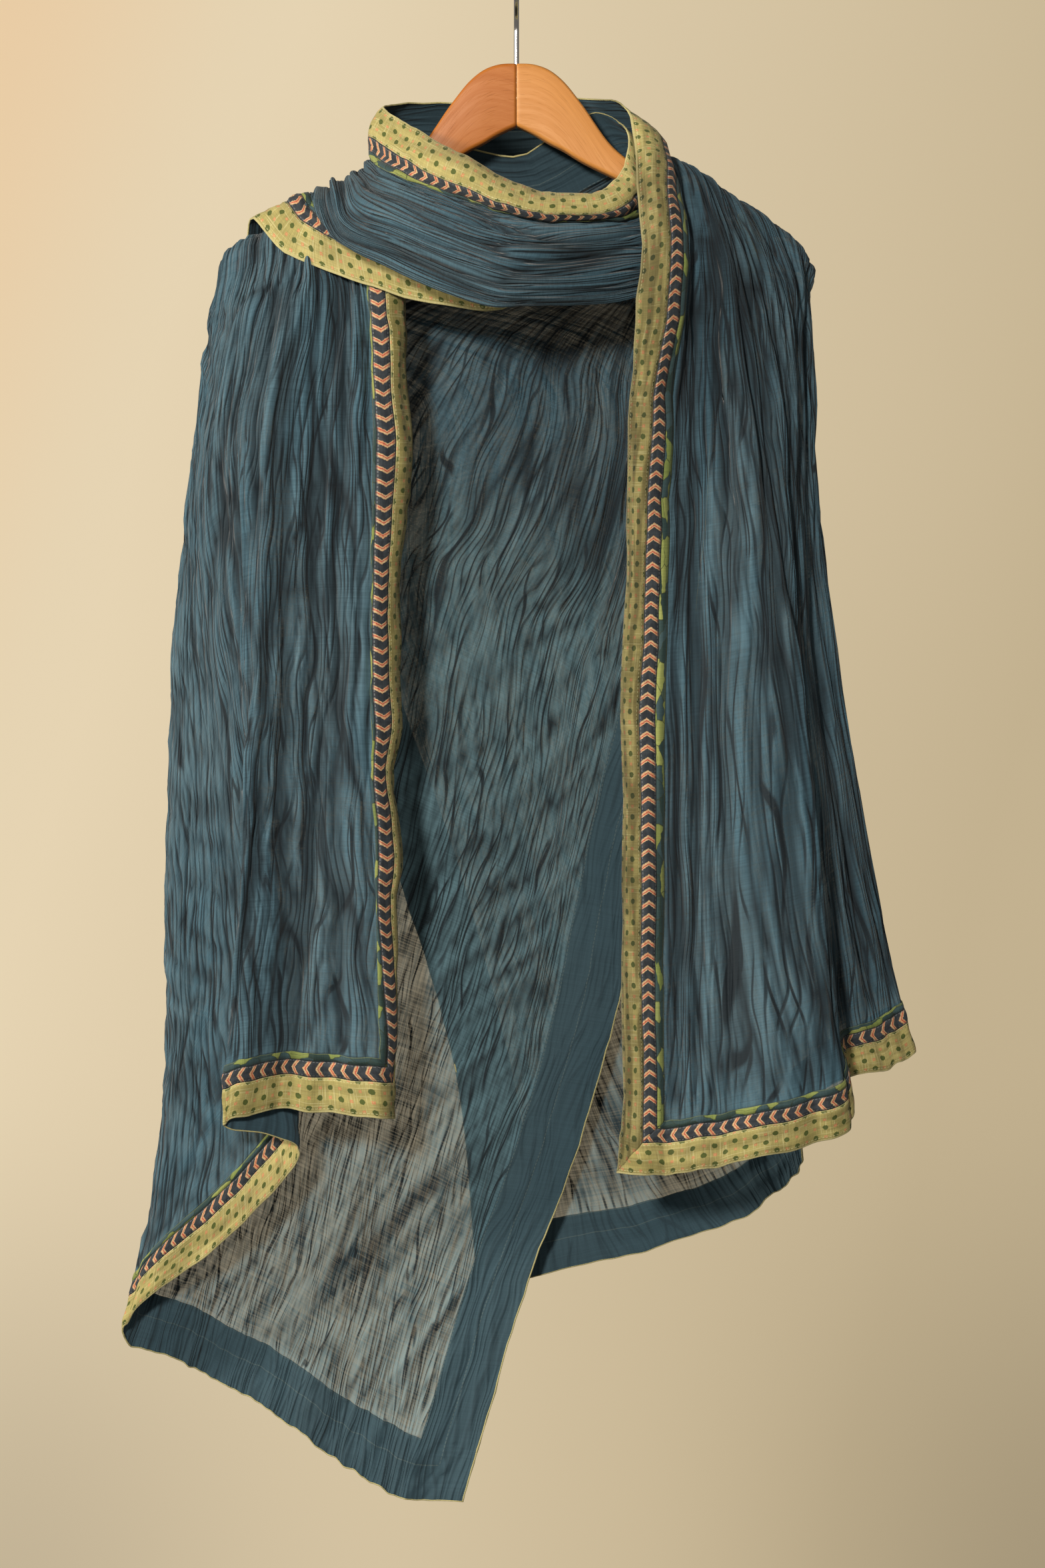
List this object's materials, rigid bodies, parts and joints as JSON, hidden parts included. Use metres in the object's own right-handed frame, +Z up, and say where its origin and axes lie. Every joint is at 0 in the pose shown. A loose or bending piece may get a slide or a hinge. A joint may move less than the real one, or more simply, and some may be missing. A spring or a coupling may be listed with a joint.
{
  "type": "crinkled cotton dupatta on a wooden hanger",
  "caption": "Long crinkled cotton wrap with a patterned border, looped round a wooden clothes hanger with both ends hanging.",
  "frame": {"origin": "inside of the hook's crown, where it rests on a rail", "axes": "+Z up, +X to the viewer's right across the hanger, +Y away from the viewer towards the wrap's back"},
  "size_m": [0.6026, 0.1719, 1.1677],
  "materials": {
    "blue_cotton": "dusky blue crinkled cotton, thin and sheer in one layer",
    "dotted_cotton": "yellow-green slub cotton printed with small dots",
    "chevron_cotton": "navy cotton tape with cream and red chevrons",
    "leaf_cotton": "narrow piping of green leaf print",
    "varnished_wood": "orange-brown varnished wood",
    "chrome_wire": "bright plated steel wire"
  },
  "bodies": {
    "root": {"cloth": "blue_cotton", "border_front_edge": "dotted_cotton", "border_outer_edge": "dotted_cotton", "border_left_hem": "dotted_cotton", "border_right_hem": "dotted_cotton", "chevron_front_edge": "chevron_cotton", "chevron_outer_edge": "chevron_cotton", "chevron_left_hem": "chevron_cotton", "chevron_right_hem": "chevron_cotton", "leaf_front_edge": "leaf_cotton", "leaf_outer_edge": "leaf_cotton", "leaf_left_hem": "leaf_cotton", "leaf_right_hem": "leaf_cotton", "hanger_left": "varnished_wood", "hanger_right": "varnished_wood", "hook": "chrome_wire"}
  },
  "joints": []
}
